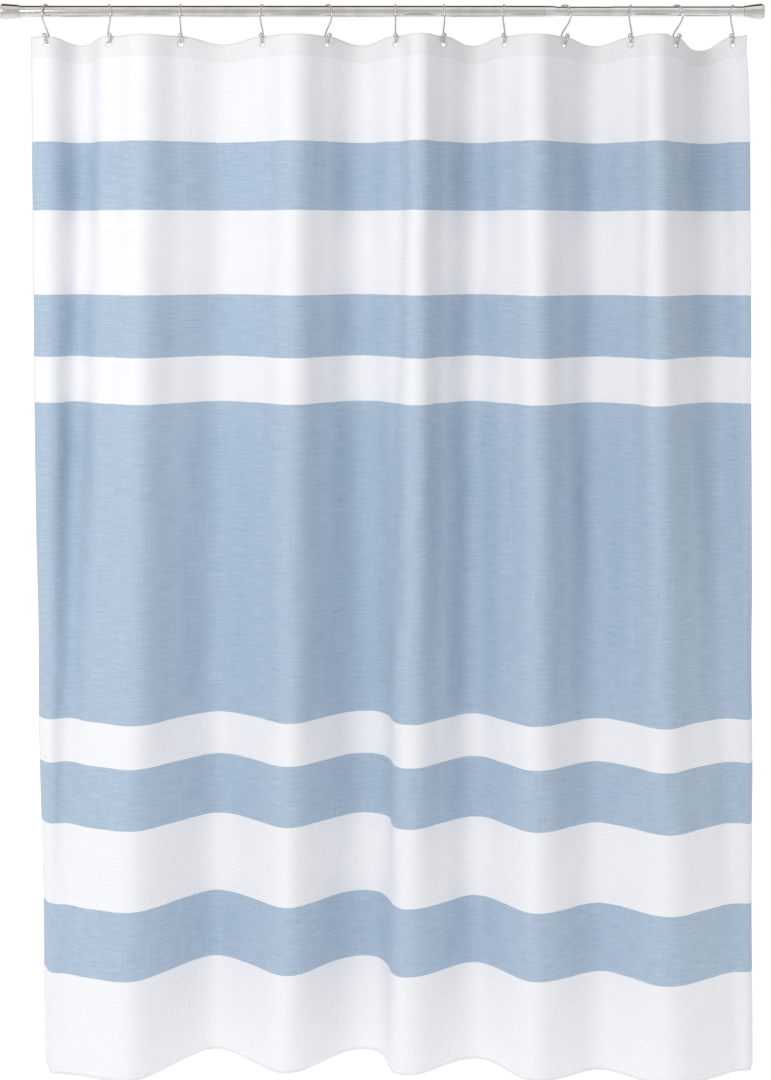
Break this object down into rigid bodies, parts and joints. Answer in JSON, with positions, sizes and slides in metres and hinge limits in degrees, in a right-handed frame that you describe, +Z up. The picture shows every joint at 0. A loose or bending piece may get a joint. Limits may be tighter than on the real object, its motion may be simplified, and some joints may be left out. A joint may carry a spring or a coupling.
{
  "type": "shower curtain",
  "caption": "Striped woven shower curtain hanging in soft folds from wire hooks on a telescopic tension rod.",
  "frame": {"origin": "centre of the left wall face of the rod, on the rod's axis", "axes": "+X along the rod from the left wall to the right, +Z up, the front of the curtain faces -Y; the cloth hangs down along -Z"},
  "size_m": [1.331, 0.1852, 1.887],
  "materials": {
    "bright_nickel": "polished nickel plate",
    "spring_steel": "bare drawn wire",
    "lock_plastic": "moulded nylon",
    "foot_rubber": "soft matt rubber",
    "striped_weave": "woven stripes, white waffle and slate blue plain weave",
    "white_thread": "white sewing thread"
  },
  "bodies": {
    "rod_outer": {"rubber_foot_left": "foot_rubber", "end_cap_left": "bright_nickel", "outer_tube": "bright_nickel", "tube_collar": "bright_nickel"},
    "rod_lock": {"lock_plug": "lock_plastic", "lock_spindle": "spring_steel", "tension_spring": "spring_steel"},
    "rod_inner": {"inner_tube": "bright_nickel", "inner_sleeve": "bright_nickel", "end_cap_right": "bright_nickel", "rubber_foot_right": "foot_rubber", "spindle_nut": "lock_plastic"},
    "curtain": {"curtain_panel": "striped_weave", "header_band": "striped_weave", "hook_wire_12": "bright_nickel", "hook_ball_12": "bright_nickel", "eyelet_stitching_12": "white_thread"},
    "hook_01": {"hook_wire_01": "bright_nickel", "hook_ball_01": "bright_nickel", "eyelet_stitching_01": "white_thread"},
    "hook_02": {"hook_wire_02": "bright_nickel", "hook_ball_02": "bright_nickel", "eyelet_stitching_02": "white_thread"},
    "hook_03": {"hook_wire_03": "bright_nickel", "hook_ball_03": "bright_nickel", "eyelet_stitching_03": "white_thread"},
    "hook_04": {"hook_wire_04": "bright_nickel", "hook_ball_04": "bright_nickel", "eyelet_stitching_04": "white_thread"},
    "hook_05": {"hook_wire_05": "bright_nickel", "hook_ball_05": "bright_nickel", "eyelet_stitching_05": "white_thread"},
    "hook_06": {"hook_wire_06": "bright_nickel", "hook_ball_06": "bright_nickel", "eyelet_stitching_06": "white_thread"},
    "hook_07": {"hook_wire_07": "bright_nickel", "hook_ball_07": "bright_nickel", "eyelet_stitching_07": "white_thread"},
    "hook_08": {"hook_wire_08": "bright_nickel", "hook_ball_08": "bright_nickel", "eyelet_stitching_08": "white_thread"},
    "hook_09": {"hook_wire_09": "bright_nickel", "hook_ball_09": "bright_nickel", "eyelet_stitching_09": "white_thread"},
    "hook_10": {"hook_wire_10": "bright_nickel", "hook_ball_10": "bright_nickel", "eyelet_stitching_10": "white_thread"},
    "hook_11": {"hook_wire_11": "bright_nickel", "hook_ball_11": "bright_nickel", "eyelet_stitching_11": "white_thread"}
  },
  "joints": [
    {"name": "rod_extend", "type": "slide", "parent": "rod_outer", "child": "rod_lock", "axis": [1, 0, 0], "range_m": [-0.01, 0.3]},
    {"name": "rod_twist", "type": "hinge", "parent": "rod_lock", "child": "rod_inner", "pos_m": [0.6, 0, 0], "axis": [1, 0, 0], "continuous": true},
    {"name": "curtain_swing", "type": "hinge", "parent": "rod_outer", "child": "curtain", "pos_m": [0.6, 0, 0], "axis": [1, 0, 0], "range_deg": [-12, 12]},
    {"name": "hook_slide_01", "type": "slide", "parent": "curtain", "child": "hook_01", "axis": [1, 0, 0], "range_m": [0, 0.8372], "deforming": ["curtain_panel", "header_band"]},
    {"name": "hook_slide_02", "type": "slide", "parent": "curtain", "child": "hook_02", "axis": [1, 0, 0], "range_m": [0, 0.7621]},
    {"name": "hook_slide_03", "type": "slide", "parent": "curtain", "child": "hook_03", "axis": [1, 0, 0], "range_m": [0, 0.6739]},
    {"name": "hook_slide_04", "type": "slide", "parent": "curtain", "child": "hook_04", "axis": [1, 0, 0], "range_m": [0, 0.5745]},
    {"name": "hook_slide_05", "type": "slide", "parent": "curtain", "child": "hook_05", "axis": [1, 0, 0], "range_m": [0, 0.4954]},
    {"name": "hook_slide_06", "type": "slide", "parent": "curtain", "child": "hook_06", "axis": [1, 0, 0], "range_m": [0, 0.4121]},
    {"name": "hook_slide_07", "type": "slide", "parent": "curtain", "child": "hook_07", "axis": [1, 0, 0], "range_m": [0, 0.3533]},
    {"name": "hook_slide_08", "type": "slide", "parent": "curtain", "child": "hook_08", "axis": [1, 0, 0], "range_m": [0, 0.2791]},
    {"name": "hook_slide_09", "type": "slide", "parent": "curtain", "child": "hook_09", "axis": [1, 0, 0], "range_m": [0, 0.2063]},
    {"name": "hook_slide_10", "type": "slide", "parent": "curtain", "child": "hook_10", "axis": [1, 0, 0], "range_m": [0, 0.1244]},
    {"name": "hook_slide_11", "type": "slide", "parent": "curtain", "child": "hook_11", "axis": [1, 0, 0], "range_m": [0, 0.0698]}
  ],
  "couplings": [
    {"joint": "hook_slide_02", "follows": "hook_slide_01", "ratio": 0.9097},
    {"joint": "hook_slide_03", "follows": "hook_slide_01", "ratio": 0.80435},
    {"joint": "hook_slide_04", "follows": "hook_slide_01", "ratio": 0.68562},
    {"joint": "hook_slide_05", "follows": "hook_slide_01", "ratio": 0.59114},
    {"joint": "hook_slide_06", "follows": "hook_slide_01", "ratio": 0.49164},
    {"joint": "hook_slide_07", "follows": "hook_slide_01", "ratio": 0.4214},
    {"joint": "hook_slide_08", "follows": "hook_slide_01", "ratio": 0.33278},
    {"joint": "hook_slide_09", "follows": "hook_slide_01", "ratio": 0.24582},
    {"joint": "hook_slide_10", "follows": "hook_slide_01", "ratio": 0.14799},
    {"joint": "hook_slide_11", "follows": "hook_slide_01", "ratio": 0.082776}
  ]
}
